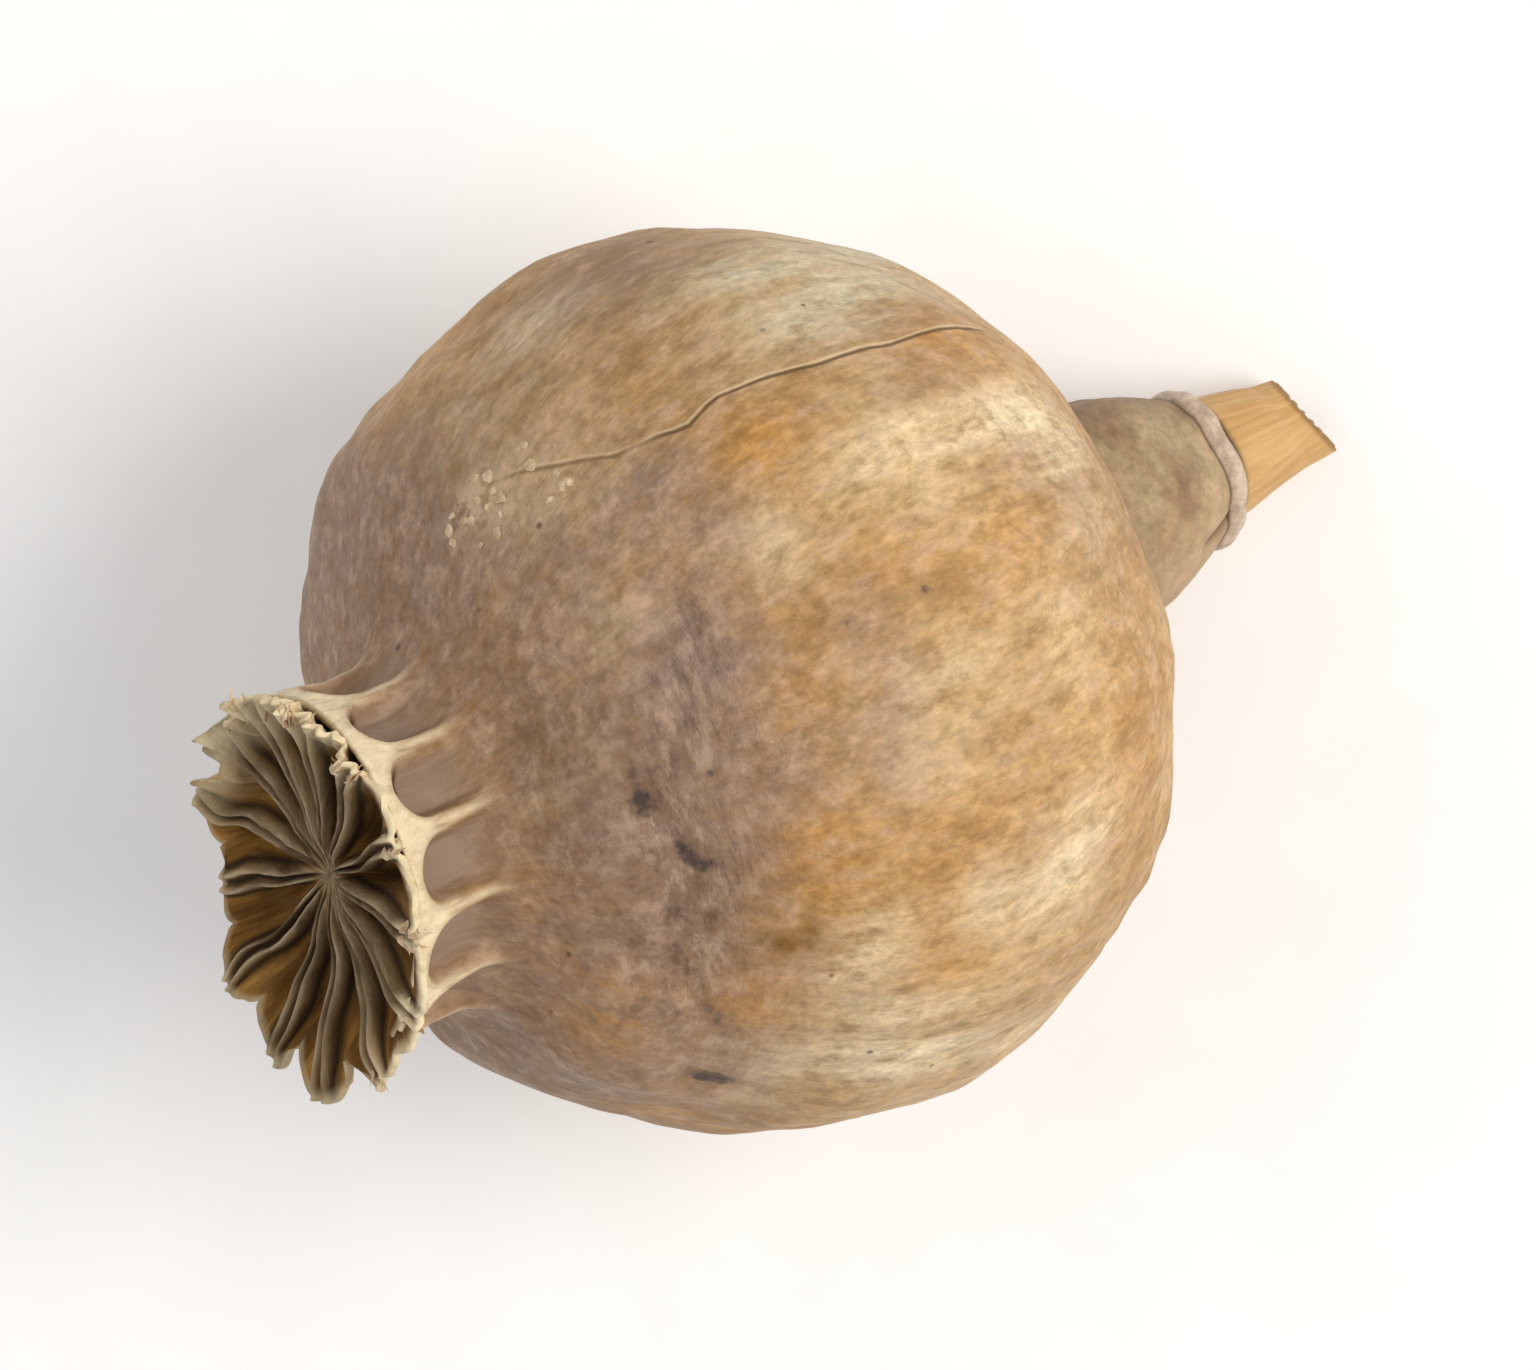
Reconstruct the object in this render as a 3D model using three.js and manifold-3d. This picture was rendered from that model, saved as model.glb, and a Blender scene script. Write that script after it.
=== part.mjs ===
// Dried poppy seed head, lying on its side on a level surface.
// Millimetres, +Z up. The head is shaped upright, with its stalk down and its crown up, and is
// then tipped over until the belly of the pod and the tip of the stalk touch the surface.
import * as THREE from "three";
import { mergeVertices } from "three/addons/utils/BufferGeometryUtils.js";
import Module from "manifold-3d";

// Driving dimensions. Heights are measured up the head's own axis from the pod's widest level.
const rayCount = 13; // stigma rays, and as many webs under the crown and ribs down the pod
const podRadius = 21.5;
const podBaseDepth = 19.8; // full depth of the rounded base below the widest level
const podTopHeight = 19.8; // full height of the dome above the widest level
const ribHeight = 0.28; // relief of the ribs down the flank
const dentDepth = 0.45; // broad hollows left by drying
const neckHeight = 23.0; // seat of the crown
const neckRadius = 7.9; // over the webs, where the neck is narrowest
const neckStart = 16.2; // the shoulder turns in to the neck between these heights
const neckEnd = 20.2;
const shoulderLimit = 17.8; // the dome is not followed above this height
const windowDepth = 1.3; // how far the windows between the webs sink in
const windowTop = 22.3; // height at which a window closes under the crown
const archDrop = 1.3; // how much lower it closes beside the webs, which makes an arch of it
const crownRadius = 9.1;
const crownRim = 24.6; // height of the crown's rim
const crownHub = 23.8; // height of the crown's hub, the bottom of its saucer
const crownNotch = 0.15; // share of the radius lost between two rays
const rayHeight = 0.5;
const pleatDepth = 0.65; // hollow between two rays
const rimThickness = 0.7;
const crownLean = THREE.MathUtils.degToRad(9); // the crown sits askew, higher on the +X side
const stalkTop = -19.4;
const collarHeight = -28.2; // the scar ring under the swollen receptacle
const collarRadius = 4.0;
const stalkTip = -35.1; // middle of the cut
const stalkRise = 1.95; // the stalk bends up from the head's axis by this much at its tip
const tipRadius = 2.3;
const tipSqueeze = 0.15; // the tip is this much thinner from top to bottom than across
const cutAcross = 0.34; // the cut slants, lower on the +X side
const cutUnder = 0.65; // and lower on the underside
const tilt = THREE.MathUtils.degToRad(35.3); // crown end raised above the surface
const tipFlat = 0.15; // how much of the stalk's tip is worn flat on the surface
const joint = 0.3; // gap between the pod and what grows from it

const podSegments = rayCount * 8;
const crownSegments = rayCount * 8;
const stalkSegments = 40;

const { smoothstep, lerp } = THREE.MathUtils;
const wasm = await Module();
wasm.setup();

// One fixed random draw per ray, the same on every run.
function seededDraws(seed, count) {
  let state = seed;
  return Array.from({ length: count }, () => {
    state = (state * 16807) % 2147483647;
    return (state / 2147483647) * 2 - 1;
  });
}
const lobeDraws = seededDraws(41, rayCount);

// Share of a pitch from the nearest ray, from -0.5 to 0.5, and that ray's number. The first ray
// points to the top side.
function rayPhase(angle) {
  const turns = (angle / (2 * Math.PI)) * rayCount;
  const ray = Math.round(turns);
  return { offset: turns - ray, ray: ((ray % rayCount) + rayCount) % rayCount };
}

// Evenly spaced columns pulled towards the rays, where the relief is finest.
function columnAngle(column, columns, pull) {
  const pitch = (column / columns) * rayCount;
  const bent = pitch - (pull / (2 * Math.PI)) * Math.sin(2 * Math.PI * pitch);
  return (bent / rayCount) * 2 * Math.PI;
}

// A lathe turned into a shaped solid: place(angle, row) gives the radius and height of each point.
// The angle is measured from the head's top side, +Y, towards +X.
function shapedLathe(rows, columns, pull, place) {
  const strip = Array.from({ length: rows }, (_, row) => new THREE.Vector2(1, row));
  const geometry = new THREE.LatheGeometry(strip, columns);
  const position = geometry.getAttribute("position");
  for (let column = 0; column <= columns; column++) {
    const angle = -columnAngle(column % columns, columns, pull);
    for (let row = 0; row < rows; row++) {
      const { radius, height } = place(angle, row);
      const x = radius * Math.sin(angle);
      const y = radius * Math.cos(angle) + bendAt(height);
      const raised = height + leanAt(height) * x;
      position.setXYZ(column * rows + row, x, y, raised);
    }
  }
  return geometry;
}

// The neck shears over to the +X side, so the crown leans without a kink.
function leanAt(height) {
  return Math.tan(crownLean) * smoothstep(height, 11, 20.5);
}

// The stalk bends towards the top side as it runs down from the pod.
function bendAt(height) {
  return stalkRise * Math.max(0, (height - stalkTop) / (stalkTip - stalkTop)) ** 1.5;
}

function ellipseRadius(height) {
  const depth = height < 0 ? podBaseDepth : podTopHeight;
  return podRadius * Math.sqrt(Math.max(0, 1 - (height / depth) ** 2));
}

// A height that eases off below a limit instead of passing it.
function easedOff(height, limit) {
  const softness = 0.35;
  return height - softness * Math.log(1 + Math.exp((height - limit) / softness));
}

// Broad, shallow unevenness of the dried wall.
function dents(angle, height) {
  const wave = Math.sin(2 * angle + 1.1) * Math.cos(height / 13);
  const ripple = Math.sin(3 * angle - 0.6 + height / 16);
  return dentDepth * (0.6 * wave + 0.4 * ripple);
}

// Radius of the pod: an ellipsoid with low ribs, drawn in to a neck of sunken windows between webs.
function podWall(angle, level) {
  const { offset } = rayPhase(angle);
  const rib = 0.5 + 0.5 * Math.cos(2 * Math.PI * offset);
  const neck = smoothstep(level, neckStart, neckEnd);
  const flank = ellipseRadius(easedOff(level, shoulderLimit));
  const web = Math.exp(-((offset / 0.13) ** 2));
  const flare = 0.45 * smoothstep(level, 20.5, neckHeight);
  const sunk = windowDepth * smoothstep(level, 17, 20.5) * (level < windowTop ? 1 : 0);
  const scallop = 0.4 * smoothstep(level, 18.5, 20.5);
  const ribs = ribHeight * rib * (1 - neck) * smoothstep(level, -podBaseDepth, -12);
  const relief = ribs + dents(angle, level) * (1 - neck) - (sunk + scallop) * (1 - web);
  return lerp(flank, neckRadius, neck) + flare + relief;
}

// Rows of points near the top of the windows bend down beside the webs.
function podHeight(angle, level) {
  const besideWeb = (1 - Math.abs(2 * rayPhase(angle).offset)) ** 2;
  const bend = smoothstep(level, 17, windowTop - 0.2) * (1 - smoothstep(level, windowTop, neckHeight));
  return level - archDrop * bend * besideWeb;
}

function podLevels() {
  const flank = Array.from({ length: 17 }, (_, i) => {
    const along = THREE.MathUtils.degToRad(lerp(-75, 57, i / 16));
    return (along < 0 ? podBaseDepth : podTopHeight) * Math.sin(along);
  });
  const neck = Array.from({ length: 8 }, (_, i) => lerp(17.2, windowTop - 0.15, i / 7));
  return [...flank, ...neck, windowTop + 0.15, windowTop + 0.5, neckHeight];
}

function podGeometry() {
  const levels = podLevels();
  const rows = levels.length + 2;
  return shapedLathe(rows, podSegments, 0.35, (angle, row) => {
    if (row === 0) return { radius: 0, height: levels[0] };
    if (row === rows - 1) return { radius: 0, height: neckHeight };
    const level = levels[row - 1];
    return { radius: podWall(angle, level), height: podHeight(angle, level) };
  });
}

// Outline of the crown: a lobe for each ray, no two alike, longest on the +X side.
function crownOutline(angle) {
  const { offset, ray } = rayPhase(angle);
  const askew = 0.07 * Math.sin(angle) - 0.03 * Math.cos(angle);
  const length = 1 + askew + 0.035 * lobeDraws[ray] * Math.cos(Math.PI * offset);
  const notch = crownNotch * Math.abs(2 * offset) ** 3;
  return crownRadius * length * (1 - notch);
}

// Upper face of the crown: a saucer pleated into hollows, with a pair of ridges along each ray.
function crownFace(angle, share) {
  const { offset } = rayPhase(angle);
  const saucer = (crownRim - crownHub) * share ** 2;
  const ridge = Math.exp(-(((Math.abs(offset) - 0.085) / 0.06) ** 2));
  const rays = rayHeight * ridge * smoothstep(share, 0, 0.35) * (1 - 0.7 * smoothstep(share, 0.8, 1));
  const between = 0.5 - 0.5 * Math.cos(2 * Math.PI * offset);
  const pleat = pleatDepth * between * smoothstep(share, 0.15, 0.7) * (1 - smoothstep(share, 0.84, 0.98));
  return crownHub + saucer + rays - pleat;
}

function crownGeometry() {
  const faceShares = [1, 0.955, 0.9, 0.8, 0.68, 0.54, 0.4, 0.27, 0.15, 0.07];
  const undersideShares = [0.84, 0.93];
  const seat = neckHeight + joint;
  const rows = undersideShares.length + 1 + faceShares.length + 2;
  return shapedLathe(rows, crownSegments, 0.5, (angle, row) => {
    const rim = crownOutline(angle);
    if (row === 0) return { radius: 0, height: seat };
    if (row === rows - 1) return { radius: 0, height: crownHub };
    const under = row - 1;
    if (under < undersideShares.length) {
      const share = undersideShares[under];
      return { radius: rim * share, height: seat + 0.4 * under };
    }
    if (under === undersideShares.length)
      return { radius: rim, height: crownFace(angle, 1) - rimThickness };
    const share = faceShares[under - undersideShares.length - 1];
    return { radius: rim * share, height: crownFace(angle, share) };
  });
}

// Half outline of the stalk, from its tip up: the cut stalk, the groove, the pale scar ring and
// the swollen receptacle that carries the pod.
const stalkOutline = [
  [tipRadius - 0.15, stalkTip],
  [tipRadius, stalkTip + 0.25],
  [2.4, stalkTip + 1.6],
  [2.8, -31.5],
  [3.25, -29.6],
  [3.35, collarHeight - 1],
  [collarRadius - 0.15, collarHeight - 0.85],
  [collarRadius, collarHeight - 0.5],
  [collarRadius, collarHeight - 0.15],
  [collarRadius - 0.25, collarHeight],
  [4.35, -27.2],
  [4.95, -25.7],
  [5.45, -24.0],
  [5.8, -22.0],
  [5.7, stalkTop],
];

function stalkGeometry() {
  const rows = stalkOutline.length + 2;
  return shapedLathe(rows, stalkSegments, 0, (angle, row) => {
    const inside = Math.min(Math.max(row - 1, 0), stalkOutline.length - 1);
    const [outline, level] = stalkOutline[inside];
    const nearTip = 1 - smoothstep(level, stalkTip, -31.5);
    const ridges = 1 + 0.025 * Math.sin(5 * angle) + 0.02 * Math.sin(2 * angle + 0.8);
    const squeezed = 1 - tipSqueeze * nearTip * Math.cos(angle) ** 2;
    const radius = row === 0 || row === rows - 1 ? 0 : outline * ridges * squeezed;
    const slant = cutUnder * Math.cos(angle) - cutAcross * Math.sin(angle);
    return { radius, height: level + nearTip * radius * slant };
  });
}

function solidFrom(geometry) {
  const bare = geometry.clone();
  bare.deleteAttribute("normal");
  bare.deleteAttribute("uv");
  const merged = mergeVertices(bare, 1e-4);
  return new wasm.Manifold(
    new wasm.Mesh({
      numProp: 3,
      vertProperties: merged.getAttribute("position").array,
      triVerts: new Uint32Array(merged.index.array),
    }),
  );
}

function geometryFrom(solid) {
  const { vertProperties, triVerts } = solid.getMesh();
  const geometry = new THREE.BufferGeometry();
  geometry.setAttribute("position", new THREE.BufferAttribute(vertProperties, 3));
  geometry.setIndex(new THREE.BufferAttribute(triVerts, 1));
  geometry.computeVertexNormals();
  return geometry;
}

// Level surface under the head, seen in the upright frame: how far it lies from the middle of the
// widest level, so that it just takes the edge off the stalk's tip.
const underTip = tipRadius * (1 - tipSqueeze);
const lowestTip = stalkTip - cutUnder * underTip;
const surfaceDistance =
  -lowestTip * Math.sin(tilt) + (underTip - bendAt(lowestTip)) * Math.cos(tilt) - tipFlat;
const downwards = new THREE.Vector3(0, -Math.cos(tilt), -Math.sin(tilt));
// The belly touches this far along the surface from under the middle of the widest level.
const bellyReach = Math.hypot(podRadius * Math.cos(tilt), podBaseDepth * Math.sin(tilt));
const bellyOffset =
  ((podRadius ** 2 - podBaseDepth ** 2) * Math.sin(tilt) * Math.cos(tilt)) / bellyReach;

// What lies below the surface is pressed flat.
function flattened(geometry) {
  const size = 120;
  const below = new THREE.BoxGeometry(size, size, size);
  below.translate(0, 0, -size / 2 - surfaceDistance);
  const upright = new THREE.Quaternion().setFromUnitVectors(new THREE.Vector3(0, 0, -1), downwards);
  below.applyQuaternion(upright);
  return geometryFrom(solidFrom(geometry).subtract(solidFrom(below)));
}

function piece(name, geometry, color, roughness) {
  const mesh = new THREE.Mesh(
    geometry,
    new THREE.MeshStandardMaterial({ color, roughness, metalness: 0 }),
  );
  mesh.name = name;
  return mesh;
}

const head = new THREE.Group();
head.add(
  piece("pod", flattened(podGeometry()), "#b08f66", 0.62),
  piece("crown", crownGeometry(), "#8d7550", 0.8),
  piece("stalk", flattened(stalkGeometry()), "#c79f62", 0.6),
);
head.rotation.x = Math.PI / 2 - tilt;
head.position.set(0, bellyOffset, surfaceDistance);

const part = new THREE.Group();
part.add(head);

export default part;
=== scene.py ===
import math

import bpy
import numpy as np
from mathutils import Matrix, Vector


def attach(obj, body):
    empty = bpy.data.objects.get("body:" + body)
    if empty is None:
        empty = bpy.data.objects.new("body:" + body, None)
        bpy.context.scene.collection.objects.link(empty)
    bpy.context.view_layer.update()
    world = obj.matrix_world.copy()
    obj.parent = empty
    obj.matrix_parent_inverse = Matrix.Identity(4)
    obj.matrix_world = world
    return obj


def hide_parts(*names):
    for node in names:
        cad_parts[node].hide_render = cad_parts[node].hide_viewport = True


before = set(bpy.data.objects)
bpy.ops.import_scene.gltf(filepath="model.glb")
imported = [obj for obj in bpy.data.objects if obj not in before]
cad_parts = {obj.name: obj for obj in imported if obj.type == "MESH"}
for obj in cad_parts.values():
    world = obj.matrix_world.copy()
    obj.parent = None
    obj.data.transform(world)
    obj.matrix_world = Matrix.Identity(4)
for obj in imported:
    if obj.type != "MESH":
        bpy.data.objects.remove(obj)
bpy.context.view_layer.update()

mm = 0.001

# The head's own measures, in mm and degrees. Heights run up its axis from the widest level.
head = {
    "rays": 13,
    "podRadius": 21.5,
    "podBaseDepth": 19.8,
    "podTopHeight": 19.8,
    "shoulderLimit": 17.8,
    "neckRadius": 7.9,
    "stalkTop": -19.4,
    "stalkTip": -35.1,
    "stalkRise": 1.95,
    "tipRadius": 2.3,
    "tipSqueeze": 0.15,
    "cutAcross": 0.34,
    "cutUnder": 0.65,
    "tipFlat": 0.15,
    "tilt": 35.3,
    "lean": 9.0,
}
pitch = 2 * math.pi / head["rays"]
tilt = math.radians(head["tilt"])


def stalkBend(level):  # mm by which the stalk bends towards the top side
    down = np.maximum(0, (level - head["stalkTop"]) / (head["stalkTip"] - head["stalkTop"]))
    return head["stalkRise"] * down ** 1.5


# How the upright head is laid down: tipped about X, then lifted on to the ground.
reach = math.hypot(head["podRadius"] * math.cos(tilt), head["podBaseDepth"] * math.sin(tilt))
bellyOffset = (head["podRadius"] ** 2 - head["podBaseDepth"] ** 2) * math.sin(tilt) * math.cos(tilt) / reach
underTip = head["tipRadius"] * (1 - head["tipSqueeze"])
lowestTip = head["stalkTip"] - head["cutUnder"] * underTip
tipHeight = -lowestTip * math.sin(tilt) + (underTip - stalkBend(lowestTip)) * math.cos(tilt)
podCentre = Vector((0.0, bellyOffset, tipHeight - head["tipFlat"])) * mm
layDown = Matrix.Rotation(math.pi / 2 - tilt, 3, "X")


def linearColour(code):  # "#rrggbb" in sRGB to the linear colour that nodes take
    parts = [int(code[i:i + 2], 16) / 255 for i in (1, 3, 5)]
    return [c / 12.92 if c <= 0.04045 else ((c + 0.055) / 1.055) ** 2.4 for c in parts] + [1.0]


def setInputs(tree, node, inputs):  # links a node's first live output or a socket, or sets a value
    for key, value in inputs.items():
        if isinstance(value, bpy.types.Node):
            value = next(socket for socket in value.outputs if socket.enabled)
        if isinstance(value, bpy.types.NodeSocket):
            tree.links.new(value, node.inputs[key])
        else:
            node.inputs[key].default_value = linearColour(value) if str(value)[:1] == "#" else value


def addNode(tree, kind, inputs=None, stops=(), **settings):  # a node, its settings and its links
    node = tree.nodes.new(kind)
    for name, value in settings.items():
        setattr(node, name, value)
    setInputs(tree, node, inputs or {})
    if stops:
        ramp = node.color_ramp.elements
        while len(ramp) < len(stops):
            ramp.new(0.5)
        for element, (place, code) in zip(ramp, stops):
            element.position = place
            element.color = linearColour(code)
    return node


def ease(value, low, high):  # smooth step from 0 at low to 1 at high
    t = np.clip((value - low) / (high - low), 0, 1)
    return t * t * (3 - 2 * t)


def waves(points, size, seed, count=14):  # smooth unevenness of about the given size, -1 to 1
    draw = np.random.default_rng(seed)
    directions = draw.normal(size=(count, 3))
    directions /= np.linalg.norm(directions, axis=1)[:, None]
    lengths = size * draw.uniform(0.6, 1.6, count)
    phases = draw.uniform(0, 2 * math.pi, count)
    swing = np.cos(points @ (directions * (2 * math.pi / lengths)[:, None]).T + phases)
    return swing.sum(1) / math.sqrt(count)


def bell(value, width):
    return np.exp(-((value / width) ** 2))


def polar(radius, angle, level):  # points round the axis, angles from +Y towards +X
    return np.stack([radius * np.sin(angle), radius * np.cos(angle), level], -1)


def unit(vectors):
    return vectors / np.maximum(np.linalg.norm(vectors, axis=1), 1e-9)[:, None]


def gridFaces(rows, columns, closed):  # quads between rows of points, and a fan to a pole at each end
    row, column = np.indices((rows - 1, columns if closed else columns - 1))
    right = (column + 1) % columns
    low, high = row * columns, (row + 1) * columns
    corners = [low + right, high + right, high + column, low + column]
    faces = np.stack([corner.ravel() for corner in corners], 1).tolist()
    last = (rows - 1) * columns
    sides = list(zip(column[0].tolist(), right[0].tolist()))
    faces += [[r, c, rows * columns] for c, r in sides]
    faces += [[last + c, last + r, rows * columns + 1] for c, r in sides]
    return faces


def newObject(name, data):
    piece = bpy.data.objects.new(name, data)
    bpy.context.collection.objects.link(piece)
    return piece


def setMask(piece, key, values):
    layer = piece.data.attributes.get(key) or piece.data.attributes.new(key, "FLOAT", "POINT")
    layer.data.foreach_set("value", np.ascontiguousarray(values, np.float32))


def setVectors(piece, key, vectors):
    layer = piece.data.attributes.new(key, "FLOAT_VECTOR", "POINT")
    layer.data.foreach_set("vector", vectors.astype(np.float32).ravel())


def maskOf(piece, key):
    values = np.empty(len(piece.data.vertices), np.float32)
    piece.data.attributes[key].data.foreach_get("value", values)
    return values.astype(float)


def vectorsOf(items, field):
    flat = np.empty(len(items) * 3, np.float32)
    items.foreach_get(field, flat)
    return flat.reshape(-1, 3).astype(float)


def meshObject(name, points, faces, masks):  # points in mm; masks are kept as point attributes
    piece = newObject(name, bpy.data.meshes.new(name))
    piece.data.from_pydata((points * mm).tolist(), [], faces)
    for key, values in masks.items():
        setMask(piece, key, values)
    return piece


# The neck shears over to the +X side, so the crown sits askew, and the stalk bends up a little.
def leaned(points, level):
    shift = math.tan(math.radians(head["lean"])) * ease(level, 11, 20.5) * points[:, 0]
    return points + np.stack([0 * shift, stalkBend(level), shift], 1)


def laidDown(piece, points):  # upright mm to its place in the frame, pressed flat on the ground
    placed = points * mm @ np.array(layDown).T + np.array(podCentre)
    placed[:, 2] = np.maximum(placed[:, 2], 0)
    piece.data.vertices.foreach_set("co", placed.astype(np.float32).ravel())
    piece.data.shade_smooth()
    piece.data.update()


def bakeTree(name, tree, values):  # run a node tree and keep what it makes as a plain mesh
    host = newObject(name + "Host", bpy.data.meshes.new(name + "Host"))
    modifier = host.modifiers.new(name, "NODES")
    modifier.node_group = tree
    for socket in tree.interface.items_tree:
        if socket.in_out == "INPUT" and socket.name in values:
            modifier[socket.identifier] = values[socket.name]
    depsgraph = bpy.context.evaluated_depsgraph_get()
    mesh = bpy.data.meshes.new_from_object(host.evaluated_get(depsgraph), depsgraph=depsgraph)
    bpy.data.objects.remove(host)
    mesh.name = name
    return newObject(name, mesh)


def newTree(name, sockets):
    tree = bpy.data.node_groups.new(name, "GeometryNodeTree")
    tree.interface.new_socket(name="Geometry", in_out="OUTPUT", socket_type="NodeSocketGeometry")
    for label, kind in {"Geometry": "Geometry", **sockets}.items():
        tree.interface.new_socket(name=label, in_out="INPUT", socket_type="NodeSocket" + kind)
    return tree, addNode(tree, "NodeGroupInput").outputs


# One ray's wedge, repeated round the axis and joined. Rays differ a little in length and droop.
def rayRingTree():
    tree, given = newTree("rayRing", {
        "Wedge": "Object", "Rays": "Int", "Seed": "Int", "Length Spread": "Float", "Droop Spread": "Float",
        "Unevenness": "Float", "Wave Size": "Float", "Finish": "Material"})
    wedge = addNode(tree, "GeometryNodeObjectInfo", {"Object": given["Wedge"]}).outputs["Geometry"]
    spots = addNode(tree, "GeometryNodePoints", {"Count": given["Rays"]})
    index = addNode(tree, "GeometryNodeInputIndex")
    share = addNode(tree, "ShaderNodeMath", {0: index, 1: given["Rays"]}, operation="DIVIDE")
    turn = addNode(tree, "ShaderNodeMath", {0: share, 1: -2 * math.pi}, operation="MULTIPLY")
    spin = addNode(tree, "ShaderNodeCombineXYZ", {"Z": turn})
    rotation = addNode(tree, "FunctionNodeEulerToRotation", {0: spin})
    copies = addNode(tree, "GeometryNodeInstanceOnPoints", {
        "Points": spots, "Instance": wedge, "Rotation": rotation})
    numbered = addNode(tree, "GeometryNodeStoreNamedAttribute", {
        "Geometry": copies, "Name": "ray", "Value": index}, data_type="INT", domain="INSTANCE")
    whole = addNode(tree, "GeometryNodeRealizeInstances", {0: numbered})
    joined = addNode(tree, "GeometryNodeMergeByDistance", {"Geometry": whole, "Distance": 0.002 * mm})

    ray = addNode(tree, "GeometryNodeInputNamedAttribute", {"Name": "ray"}, data_type="INT")
    lobe = addNode(tree, "GeometryNodeInputNamedAttribute", {"Name": "lobe"}, data_type="FLOAT")
    place = addNode(tree, "GeometryNodeInputPosition")
    outward = addNode(tree, "ShaderNodeVectorMath", {0: place, 1: (1, 1, 0)}, operation="MULTIPLY")
    longer = addNode(tree, "FunctionNodeRandomValue", {
        2: -1.0, 3: 1.0, "ID": ray, "Seed": given["Seed"]}, data_type="FLOAT")
    stretch = addNode(tree, "ShaderNodeMath", {0: longer, 1: lobe}, operation="MULTIPLY")
    amount = addNode(tree, "ShaderNodeMath", {0: stretch, 1: given["Length Spread"]}, operation="MULTIPLY")
    grown = addNode(tree, "ShaderNodeVectorMath", {0: outward, "Scale": amount}, operation="SCALE")
    otherSeed = addNode(tree, "ShaderNodeMath", {0: given["Seed"], 1: 100.0}, operation="ADD")
    lower = addNode(tree, "FunctionNodeRandomValue", {
        2: -1.0, 3: 0.35, "ID": ray, "Seed": otherSeed}, data_type="FLOAT")
    droop = addNode(tree, "ShaderNodeMath", {0: lower, 1: lobe}, operation="MULTIPLY")
    fall = addNode(tree, "ShaderNodeMath", {0: droop, 1: given["Droop Spread"]}, operation="MULTIPLY")
    down = addNode(tree, "ShaderNodeCombineXYZ", {"Z": fall})
    grainSize = addNode(tree, "ShaderNodeMath", {0: 1.0, 1: given["Wave Size"]}, operation="DIVIDE")
    noise = addNode(tree, "ShaderNodeTexNoise", {
        "Vector": place, "W": given["Seed"], "Scale": grainSize, "Detail": 2.0}, noise_dimensions="4D")
    centred = addNode(tree, "ShaderNodeVectorMath", {
        0: noise.outputs["Color"], 1: (0.5, 0.5, 0.5)}, operation="SUBTRACT")
    shaken = addNode(tree, "ShaderNodeVectorMath", {
        0: centred, "Scale": given["Unevenness"]}, operation="SCALE")
    firstSum = addNode(tree, "ShaderNodeVectorMath", {0: grown, 1: down}, operation="ADD")
    shift = addNode(tree, "ShaderNodeVectorMath", {0: firstSum, 1: shaken}, operation="ADD")
    moved = addNode(tree, "GeometryNodeSetPosition", {"Geometry": joined, "Offset": shift})
    finished = addNode(tree, "GeometryNodeSetMaterial", {"Geometry": moved, "Material": given["Finish"]})
    addNode(tree, "NodeGroupOutput", {0: finished})
    return tree


# Small loose things laid on a surface: as many as its "scatter" mask asks for, each turned its "way".
def scatterTree():
    tree, given = newTree("scatter", {
        "Surface": "Object", "Thing": "Object", "Per Square Metre": "Float", "Seed": "Int",
        "Smallest": "Float", "Largest": "Float", "Disorder": "Float", "Finish": "Material"})
    surface = addNode(tree, "GeometryNodeObjectInfo", {"Object": given["Surface"]}).outputs["Geometry"]
    thing = addNode(tree, "GeometryNodeObjectInfo", {"Object": given["Thing"]}).outputs["Geometry"]
    mask = addNode(tree, "GeometryNodeInputNamedAttribute", {"Name": "scatter"}, data_type="FLOAT")
    density = addNode(tree, "ShaderNodeMath", {0: mask, 1: given["Per Square Metre"]}, operation="MULTIPLY")
    spots = addNode(tree, "GeometryNodeDistributePointsOnFaces", {
        "Mesh": surface, "Density": density, "Seed": given["Seed"]})
    way = addNode(tree, "GeometryNodeInputNamedAttribute", {"Name": "way"}, data_type="FLOAT_VECTOR")
    shake = addNode(tree, "FunctionNodeRandomValue", {
        0: (-1, -1, -1), 1: (1, 1, 1), "Seed": given["Seed"]}, data_type="FLOAT_VECTOR")
    loose = addNode(tree, "ShaderNodeVectorMath", {0: shake, "Scale": given["Disorder"]}, operation="SCALE")
    heading = addNode(tree, "ShaderNodeVectorMath", {0: way, 1: loose}, operation="ADD")
    facing = addNode(tree, "FunctionNodeAlignRotationToVector", {"Vector": heading}, axis="Z")
    roll = addNode(tree, "FunctionNodeRandomValue", {
        2: 0.0, 3: 2 * math.pi, "Seed": given["Seed"]}, data_type="FLOAT")
    rollTurn = addNode(tree, "ShaderNodeCombineXYZ", {"Z": roll})
    aboutItself = addNode(tree, "FunctionNodeEulerToRotation", {0: rollTurn})
    turned = addNode(tree, "FunctionNodeRotateRotation", {
        "Rotation": facing, "Rotate By": aboutItself}, rotation_space="LOCAL")
    size = addNode(tree, "FunctionNodeRandomValue", {
        2: given["Smallest"], 3: given["Largest"], "Seed": given["Seed"]}, data_type="FLOAT")
    copies = addNode(tree, "GeometryNodeInstanceOnPoints", {
        "Points": spots, "Instance": thing, "Rotation": turned, "Scale": size})
    whole = addNode(tree, "GeometryNodeRealizeInstances", {0: copies})
    finished = addNode(tree, "GeometryNodeSetMaterial", {"Geometry": whole, "Material": given["Finish"]})
    addNode(tree, "NodeGroupOutput", {0: finished})
    return tree


def newMaterial(name):
    material = bpy.data.materials.new(name)
    material.use_nodes = True
    return material, material.node_tree, material.node_tree.nodes["Principled BSDF"]


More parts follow.
